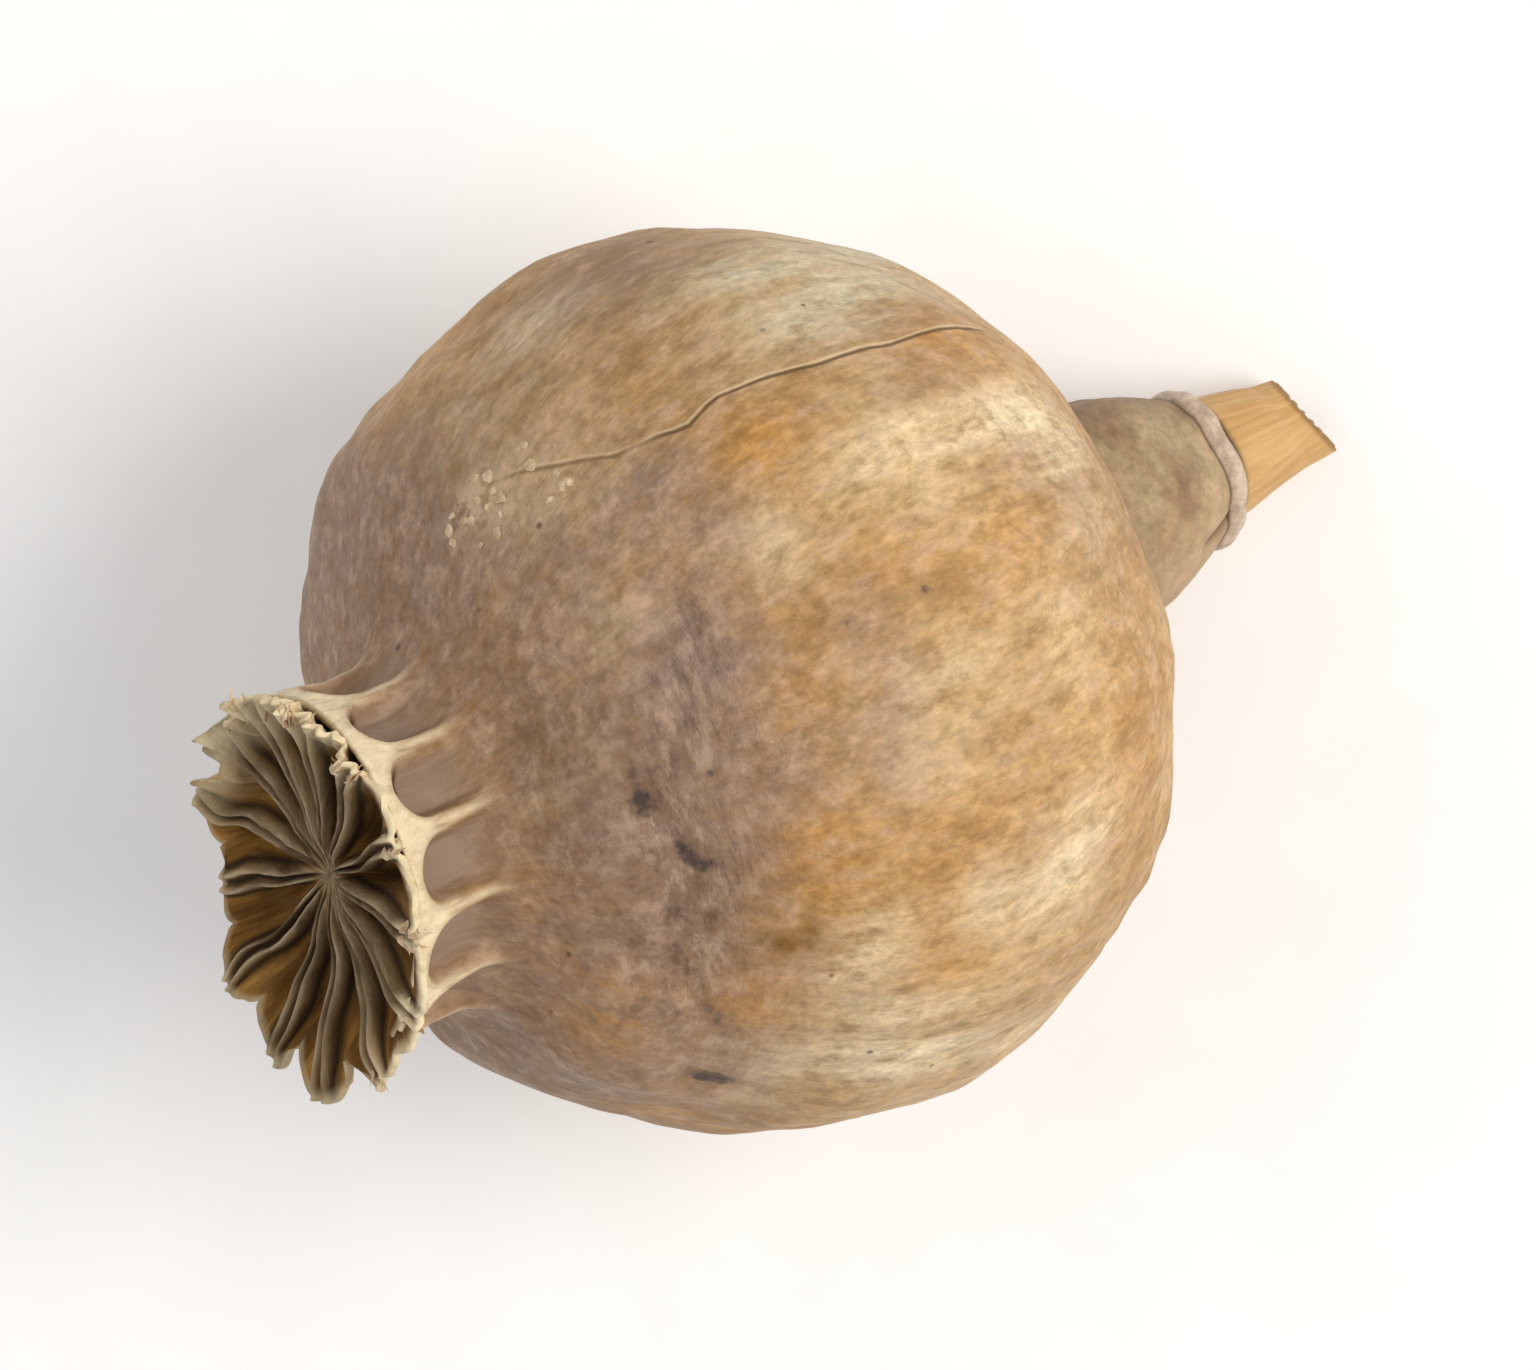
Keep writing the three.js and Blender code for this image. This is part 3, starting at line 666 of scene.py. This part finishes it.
def makePod(material):
    piece = wholeRing("podSkin", podWedge(), pod, 5, material)
    at = vectorsOf(piece.data.vertices, "co") / mm
    level = maskOf(piece, "level")
    angle = np.arctan2(at[:, 0], at[:, 1])
    degrees = np.degrees(angle)
    neck = ease(level, pod["neckFrom"], pod["neckTo"])
    radius = np.hypot(at[:, 0], at[:, 1])
    outward = unit(polar(1, angle, level / 22) * (radius > 2)[:, None])
    wave = 0.6 * np.sin(2 * angle + 1.1) * np.cos(level / 13)
    dents = pod["dentDepth"] * (wave + 0.4 * np.sin(3 * angle - 0.6 + level / 16)) * (1 - neck)
    dents += (0.16 * waves(at, 9, 3) + 0.06 * waves(at, 3.2, 4)) * (1 - 0.7 * neck)
    dents += 0.07 * waves(at, 1.0, 15) * ease(level, 22.6, 24)

    # One lip of the crack stands a little proud of the other.
    skinRadius = np.maximum(radius, 4)
    beside, along = pathDistance(crackPath, degrees, level, skinRadius)
    beside += 0.04 * waves(at, 1.6, 12)
    length = ease(along, 0, 0.08) * ease(along, 0.97, 0.8) * (1 - 0.75 * bell(along - 0.69, 0.03))
    length *= 1 - 0.35 * ease(along, 0.68, 0.75)
    proud = np.where(beside > 0, np.exp(-beside / 1.6), -0.5 * np.exp(beside / 0.7))
    dents += length * pod["crackLip"] * proud

    # The wall is pinched in along the crease and swells on its far side.
    above = pathDistance(creasePath, degrees, level, skinRadius)[0] - 0.3 * waves(at, 3.5, 9)
    pinched = ease(degrees, -22, -6) * ease(degrees, 100, 60)
    dents -= pinched * pod["creaseDepth"] * (bell(above, 0.9) - 0.4 * bell(above - 2, 1.4))
    for key in marks:
        setMask(piece, key, spread(key, degrees, level, skinRadius))
    # Painted shade: the darker shoulder band reaches further down on the lower side, where shade falls.
    lower = (2.5 * ease(degrees, 30, 60) - 4.5 * ease(degrees, 70, 95)) * ease(degrees, 178, 130)
    shoulder = 0.9 * ease(level + 1.3 * waves(at, 12, 10) - lower, 9, 16.5)
    setMask(piece, "shadeAndBrown", np.clip(shoulder + maskOf(piece, "shadeAndBrown"), 0, 1))
    dents -= pod["blotchDepth"] * np.clip(maskOf(piece, "blotch"), 0, 1)
    at += outward * dents[:, None]

    windowNumber = np.floor((degrees % 360) / 360 * head["rays"]).astype(int)
    setMask(piece, "slitShade", maskOf(piece, "slitShade") * np.isin(windowNumber, slitShadeWindows))
    setMask(piece, "bruise", pinched * bell(above, np.where(above < 0, 2.8, 1.9)))
    setMask(piece, "crackAside", np.clip(beside, -2, 2))
    setMask(piece, "crackLength", length)
    setVectors(piece, "grain", polar(head["podRadius"], angle, level))
    laidDown(piece, leaned(at, level))
    return piece


print("crown: one ray's wedge, repeated round the hub")
crown = {
    "columnsPerRay": 40,
    "radius": 9.2,
    "hub": 23.75,
    "rim": 24.75,
    "seat": 22.4,
    "notch": 0.15,
    "thickness": 0.45,
    "rayHeight": 0.6,
    "pleatDepth": 1.15,
    "lengthSpread": 0.03,
    "droopSpread": 0.35,
    "unevenness": 0.35,
    "waveSize": 2.6,
    "sweep": 0.3,  # radians by which the rays are turned as they leave the hub
    "frillHeight": 1.9,
}


def crownWedge():
    u = np.linspace(-0.5, 0.5, crown["columnsPerRay"] + 1)
    rim = crown["radius"] * (1 - crown["notch"] * np.abs(2 * u) ** 2.6)
    between = 0.5 - 0.5 * np.cos(2 * math.pi * u)
    rows = []
    masks = {}

    def addRow(share, under=0.0, out=0.0, edge=0.0):
        across = np.abs(share * crown["radius"] * u * pitch)
        apart, width = 0.1 + 0.27 * share, 0.09 + 0.07 * share
        ridge = bell(across - apart, width)
        seamAndShadow = bell(across, 0.66 * apart) * ease(share, 0.02, 0.14) * (1 - 0.5 * ease(share, 0.9, 1))
        # painted shadow: a dark line just outside each ridge, carried in the seam mask with the real seams
        ridgeShadow = bell(across - apart - 2 * width, 1.1 * width)
        shoulder = 0.35 * bell(across, 0.4 + 0.5 * share)
        rise = crown["rayHeight"] * (ridge + shoulder) * ease(share, 0, 0.3)
        rise *= 1 - 0.6 * ease(share, 0.75, 1)
        fall = crown["pleatDepth"] * between ** 1.2 * ease(share, 0.1, 0.6)
        fall *= 1 - 0.92 * ease(share, 0.7, 0.93)
        height = crown["hub"] + (crown["rim"] - crown["hub"]) * share ** 2 + rise - fall - under
        rows.append(polar(rim * share + out, u * pitch, height))
        top = under < 0.3
        middle = 0.7 * (1 - ease(share, 0.06, 0.16))
        made = {
            "ridge": np.maximum(ridge * ease(share, 0.03, 0.15), middle) * top,
            "seamAndShadow": np.clip(seamAndShadow + ridgeShadow * ease(share, 0.1, 0.3), 0, 1) * top,
            # painted shade deep in the valleys between the rays
            "valleyShade": between ** 1.2 * ease(share, 0.2, 0.5) * (1 - ease(share, 0.88, 0.98)) * top,
            "rim": max(edge, float(ease(share, 0.925, 0.985))),
            "lobe": np.cos(math.pi * u) ** 1.5 * share ** 3,
            "share": share,
            "lost": crown["radius"] / rim - 1,
        }
        for key, values in made.items():
            masks.setdefault(key, []).append(np.broadcast_to(values, u.shape))

    # Up the underside, round the edge and back over the top to the hub.
    thick = crown["thickness"]
    for share in np.linspace(0.3, 0.96, 14):
        addRow(share, under=thick + 1.0 * (1 - ease(share, 0.45, 0.8)))
    for turn in np.radians(np.linspace(-80, 80, 9)):
        addRow(1.0, under=thick / 2 * (1 - math.sin(turn)), out=thick / 2 * (math.cos(turn) - 1), edge=1.0)
    for share in np.linspace(0.975, 0.02, 62):
        addRow(share)
    points = np.concatenate(rows + [[[0, 0, crown["seat"]], [0, 0, crown["hub"] - 0.05]]])
    masks = {key: np.concatenate(values + [np.zeros(2)]) for key, values in masks.items()}
    return points, gridFaces(len(rows), len(u), closed=False), masks


def makeCrown(material):
    piece = wholeRing("stigmaDisc", crownWedge(), crown, 11, material)
    at = vectorsOf(piece.data.vertices, "co") / mm
    flatPlace = at * (1, 1, 0)
    angle = np.arctan2(at[:, 0], at[:, 1])
    radius = np.hypot(at[:, 0], at[:, 1])
    share = maskOf(piece, "share")
    ridge = maskOf(piece, "ridge")
    near = ease(np.cos(angle + 0.2), -0.35, 0.35)  # the side that lies against the pod's shoulder
    far = 1 - near

    # The disc is longest away from the top side and its rays sweep that way as they run out.
    longer = 1 + (0.06 * np.maximum(np.sin(angle), -0.4) - 0.02 * np.cos(angle)) * ease(radius, 1, 8)
    longer += near * (0.95 * maskOf(piece, "lost") - 0.02 * share)
    longer += 0.04 * far * waves(flatPlace, 8, 36) * share ** 2
    bend = -crown["sweep"] * np.sin(angle) * (1 - ease(radius, 0.5, 8.5))
    swirl = 0.045 * waves(flatPlace, 5.5, 31) + 0.012 * waves(flatPlace, 2.2, 32)
    bend += swirl * ease(radius, 0.8, 3) * (1 - 0.8 * near * share)
    ragged = 0.12 * waves(flatPlace, 1.1, 33) - 0.3 * far * np.abs(waves(flatPlace, 2.4, 34))
    ragged *= ease(share, 0.9, 1)

    # On the -X side the rim is torn into pale frills that stand up.
    frill = ease(np.cos(angle + 1.45), 0.4, 0.85)
    onRim = flatPlace * (8.7 / np.maximum(radius, 1))[:, None]
    shred = np.abs((8 * angle + 0.5 * waves(onRim, 4, 37)) % 2 - 1) ** 1.2
    shred *= 0.8 + 0.25 * waves(onRim, 5, 38)
    tooth = 0.85 * shred + 0.25 * np.abs((27 * angle) % 2 - 1)
    out = radius * longer + ragged + frill * ease(share, 0.8, 1) * (0.5 * tooth - 0.15)
    at = polar(out, angle + bend, at[:, 2])
    at[:, 2] += far * share ** 3 * (0.4 + 0.35 * waves(flatPlace, 5, 35))
    stood = crown["frillHeight"] * tooth * ease(share, 0.72, 1) ** 1.4
    at[:, 2] += frill * (stood + 0.2 * shred * ease(share, 0.4, 0.7))
    # the painted valley shade is kept mostly to the near side, whose valleys lie in shade
    setMask(piece, "valleyShade", maskOf(piece, "valleyShade") * (0.2 + 0.8 * near))
    torn = frill * ease(share, 0.7, 0.95) * (0.45 + 0.6 * tooth)
    pale = np.maximum(maskOf(piece, "rim") * (0.5 + 0.5 * near), torn)
    tips = near * ridge * ease(share, 0.8, 0.9)
    setMask(piece, "rim", np.clip(np.maximum(pale, tips), 0, 1))
    setMask(piece, "scatter", ease(share, 0.84, 0.9) * near * ridge)
    setVectors(piece, "grain", polar(crown["radius"], angle, radius))
    laidDown(piece, leaned(at, np.full(len(at), crown["rim"])))
    return piece


print("stalk: swollen receptacle, scar ring and cut stalk")
stalk = {
    "columns": 168,
    "outline": [  # radius and height, from the tip up
        (2.25, -35.1), (2.3, -34.85), (2.4, -33.5), (2.8, -31.5), (3.2, -29.6), (3.35, -29.0), (3.25, -28.8),
        (3.85, -28.65), (4.05, -28.45), (4.12, -28.0), (4.06, -27.75), (3.96, -27.6), (3.84, -27.5),
        (4.0, -27.38), (4.35, -26.8), (4.95, -25.5), (5.4, -24.2), (5.75, -22.2), (5.85, -20.6),
        (5.95, -19.6), (5.6, -18.6),
    ],
    "creaseDepth": 0.3,
    "pithDepth": 0.9,
    "fibreEnds": 0.12,
}


def makeStalk(material):
    radii, heights = np.array(stalk["outline"]).T
    levels = np.linspace(heights[0], heights[-1], 150)
    outline = np.pad(np.interp(levels, heights, radii), 2, mode="edge")
    soft = np.convolve(outline, [0.1, 0.2, 0.4, 0.2, 0.1], "valid")
    angle = np.linspace(0, 2 * math.pi, stalk["columns"], endpoint=False)
    a, level = np.meshgrid(angle, levels)
    radius = np.repeat(soft[:, None], len(angle), 1)
    swollen = ease(level, -27.5, -24)
    straw = 1 - ease(level, -29.0, -28.7)
    wrapped = polar(5, a, level * 0.35).reshape(-1, 3)
    radius = radius * (1 + 0.025 * np.sin(5 * a) * (1 - 0.5 * straw) + 0.02 * np.sin(2 * a + 0.8))
    radius += 0.07 * waves(wrapped, 3.5, 21).reshape(a.shape) * (0.4 + 0.6 * swollen)
    radius += 0.025 * waves(wrapped, 1.1, 22).reshape(a.shape)
    crease = bell(np.degrees(a) - 47, 4) * ease(level, -27.6, -27.2) * ease(level, -24.6, -25.8)
    radius -= stalk["creaseDepth"] * crease
    nearTip = 1 - ease(level, head["stalkTip"], -31.5)
    radius *= 1 - head["tipSqueeze"] * nearTip * np.cos(a) ** 2
    slant = nearTip * radius * (head["cutUnder"] * np.cos(a) - head["cutAcross"] * np.sin(a))
    onRing = bell(level + 28.1, 0.8)
    radius += 0.07 * waves(wrapped, 2.2, 23).reshape(a.shape) * onRing
    wavy = (0.12 * np.sin(3 * a + 1) + 0.06 * np.sin(8 * a + 2)) * onRing
    points = polar(radius, a, level + slant + wavy)

    # The cut face: fibres stand in a ring round the pith, which has shrunk back.
    cap = []
    shares = np.array([0.1, 0.25, 0.4, 0.52, 0.62, 0.72, 0.82, 0.9, 0.96])
    for share in shares:
        rim = points[0] * (share, share, 1)
        rim[:, 2] = level[0] + head["cutUnder"] * rim[:, 1] - head["cutAcross"] * rim[:, 0]
        rim[:, 2] += stalk["pithDepth"] * ease(share, 0.62, 0.3)
        standing = ease(share, 0.6, 0.75) * ease(share, 0.98, 0.88)
        rim[:, 2] += stalk["fibreEnds"] * np.sin(17 * angle) * standing
        cap.append(rim)
    grid = np.concatenate([np.stack(cap), points])
    poles = [[0, 0, levels[0] + stalk["pithDepth"]], [0, 0, levels[-1]]]

    def padded(values, onCut=None):  # a mask over the side, carried over the cut face and the two poles
        inner = np.repeat(values[:1], len(shares), 0)
        if onCut is not None:
            inner = np.full_like(inner, onCut)
        return np.concatenate([np.concatenate([inner, values]).ravel(), [inner[0, 0], values[-1, 0]]])

    # Painted shade: dark lines in the grooves beside the scar ring and in the crease, and a darkening towards
    # the pod that is painted shade and a brown stain together.
    groove = bell(level + 28.84, 0.2) + 0.9 * bell(level + 27.46, 0.1)
    groove += 0.9 * crease + 0.7 * ease(level, -19.5, -19.0) + 0.35 * ease(level, -22.5, -20)
    masks = {
        "straw": padded(straw),
        "ring": padded(np.exp(-(((level + 28.06) / 0.56) ** 4))),
        "groove": padded(np.clip(groove, 0, 1)),
        "cut": padded(0.8 * ease(level, -34.75, -35.1), onCut=0.8),
        "side": padded(np.sin(a)),
    }
    faces = gridFaces(*grid.shape[:2], closed=True)
    piece = meshObject("stalkBody", np.concatenate([grid.reshape(-1, 3), poles]), faces, masks)
    piece.data.materials.append(material)
    at = vectorsOf(piece.data.vertices, "co") / mm
    around = np.arctan2(at[:, 0], at[:, 1])
    setVectors(piece, "grain", polar(4, around, at[:, 2]))
    laidDown(piece, leaned(at, at[:, 2]))
    return piece


print("flakes on the skin and torn fibres on the crown's rim")
litter = {
    "flakes": {"Per Square Metre": 1.7e6, "Smallest": 0.6, "Largest": 1.3, "Disorder": 0.35, "Seed": 3},
    "fibres": {"Per Square Metre": 8e6, "Smallest": 0.6, "Largest": 1.2, "Disorder": 0.45, "Seed": 8},
}


def scattered(name, surface, thing, way, kind, material):  # a mesh strewn over a piece, pointing its way
    setVectors(surface, "way", way)
    loose = meshObject(name + "One", *thing, {})
    piece = bakeTree(name, looseTree, {
        "Surface": surface, "Thing": loose, "Finish": material, **litter[kind]})
    bpy.data.objects.remove(loose)
    return piece


def makeFlakes(material):  # crumbs of wax and dried sap, flat and angular
    corners = np.array([
        (0, 0, 0.05), (0.3, 0.02, 0.01), (0.12, 0.24, 0.02), (-0.2, 0.2, 0), (-0.3, -0.05, 0.02),
        (-0.08, -0.22, 0), (0.2, -0.18, 0.01), (0, 0, -0.08)])
    faces = [[0, i, i % 6 + 1] for i in range(1, 7)] + [[7, i % 6 + 1, i] for i in range(1, 7)]
    normals = vectorsOf(podPiece.data.vertex_normals, "vector")
    return scattered("waxFlakes", podPiece, (corners, faces), normals, "flakes", material)


def makeFibres(material):  # torn fibres, each a flat strip that narrows and curls over
    turns = np.linspace(0, 2 * math.pi, 6, endpoint=False)
    rings = []
    for s in np.linspace(0, 1, 7)[:-1]:
        wide = 0.2 * (1 - s) ** 0.8 * np.cos(turns) + 0.1 * math.sin(5 * s)
        thin = 0.045 * (1 - s) ** 0.5 * np.sin(turns) + 0.3 * s * s
        rings.append(np.stack([wide, thin, np.full(6, 0.95 * s - 0.2)], 1))
    points = np.concatenate(rings + [[[0, 0, -0.22], [-0.05, 0.32, 0.78]]])
    places = vectorsOf(crownPiece.data.vertices, "co")
    middle = np.average(places, axis=0, weights=np.maximum(1 - maskOf(crownPiece, "share"), 0))
    way = unit(places - middle) + 0.3 * vectorsOf(crownPiece.data.vertex_normals, "vector")
    fibre = points, gridFaces(6, 6, closed=True)
    return scattered("tornFibres", crownPiece, fibre, way, "fibres", material)


# Bleached scraps of dried skin: flakes of wax and torn rim fibres, chalky and matt.
def bleachedScraps():
    material, tree, shader = newMaterial("bleachedScraps")
    tone = addNode(tree, "ShaderNodeTexNoise", {"Vector": inMm(tree), "Scale": 1.6, "Detail": 3.0})
    colour = addNode(tree, "ShaderNodeValToRGB", {0: tone}, stops=[
        (0.35, "#bda080"), (0.52, "#d3ba98"), (0.7, "#e8d6b8")])
    setInputs(tree, shader, {"Base Color": colour, "Roughness": 0.8})
    return material


ringTree = rayRingTree()
looseTree = scatterTree()
podPiece = makePod(capsuleSkin())
crownPiece = makeCrown(crownTissue())
stalkPiece = makeStalk(stalkStraw())
scraps = bleachedScraps()
flakes = makeFlakes(scraps)
fibres = makeFibres(scraps)

for piece, node in ((podPiece, "pod"), (crownPiece, "crown"), (stalkPiece, "stalk")):
    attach(piece, "root")
    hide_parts(node)
    print(piece.name, len(piece.data.polygons), "faces")
for piece, slot in ((flakes, "pod"), (fibres, "crown")):
    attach(piece, "root")
    print(piece.name, len(piece.data.polygons), "faces")

print("floor, lights and camera")
studio = {
    "floorHalf": 1.2,  # m
    "glow": 0.12,  # lifts the shadows, as on a light table
    "distance": 0.40,  # m, from the camera to the pod's middle
    "lens": 200.0,
    "away": 3.5,  # degrees off the zenith, towards the stalk's side
    "aim": 0.0017,  # m to the right of the pod's middle, so that crown and stalk are both in view
    "skyStrength": 0.5,
}


def makeFloor():
    half = studio["floorHalf"]
    floor = newObject("floor", bpy.data.meshes.new("floor"))
    corners = [(-half, -half, 0), (half, -half, 0), (half, half, 0), (-half, half, 0)]
    floor.data.from_pydata(corners, [], [(0, 1, 2, 3)])
    material, tree, shader = newMaterial("palePaper")
    speckle = addNode(tree, "ShaderNodeTexNoise", {"Scale": 400.0, "Detail": 2.0})
    tint = addNode(tree, "ShaderNodeValToRGB", {0: speckle}, stops=[(0.3, "#f9fafc"), (0.7, "#fcfdff")])
    setInputs(tree, shader, {
        "Base Color": tint, "Roughness": 0.9, "Emission Color": "#e9f1ff",
        "Emission Strength": studio["glow"]})
    floor.data.materials.append(material)


# The photo looks almost straight down, with the crown at the left and the stalk at the right.
flatRight = Vector((0.427, 0.904, 0.0)).normalized()
flatUp = Vector((-0.904, 0.427, 0.0)).normalized()
back = Vector((0.0, math.sin(math.radians(studio["away"])), math.cos(math.radians(studio["away"]))))
imageRight = (flatRight - back * flatRight.dot(back)).normalized()
imageUp = back.cross(imageRight)


def makeCamera():
    camera = newObject("camera", bpy.data.cameras.new("camera"))
    camera.data.lens = studio["lens"]
    camera.data.clip_start = 0.01
    target = podCentre + imageRight * studio["aim"]
    turn = Matrix((imageRight, imageUp, back)).transposed().to_4x4()
    camera.matrix_world = Matrix.Translation(target + back * studio["distance"]) @ turn
    bpy.context.scene.camera = camera


def makeLight(name, direction, distance, size, power, code):
    lamp = newObject(name, bpy.data.lights.new(name, "AREA"))
    lamp.data.shape = "DISK"
    lamp.data.size = size
    lamp.data.energy = power
    lamp.data.color = linearColour(code)[:3]
    direction = direction.normalized()
    lamp.location = podCentre + direction * distance
    lamp.rotation_euler = direction.to_track_quat("Z", "Y").to_euler()


def makeWorld():
    world = bpy.data.worlds.new("studioAir")
    bpy.context.scene.world = world
    world.use_nodes = True
    sky = world.node_tree.nodes["Background"]
    setInputs(world.node_tree, sky, {"Color": "#f4f2ef", "Strength": studio["skyStrength"]})


makeFloor()
makeCamera()
makeWorld()
makeLight("key", flatRight + flatUp * 0.08 + Vector((0, 0, 1.15)), 0.6, 0.4, 2.5, "#fff8ee")
makeLight("fill", -flatRight * 0.8 + flatUp * 0.3 + Vector((0, 0, 0.9)), 0.8, 0.6, 0.9, "#fbf7f2")
bpy.context.scene.view_settings.view_transform = "Standard"
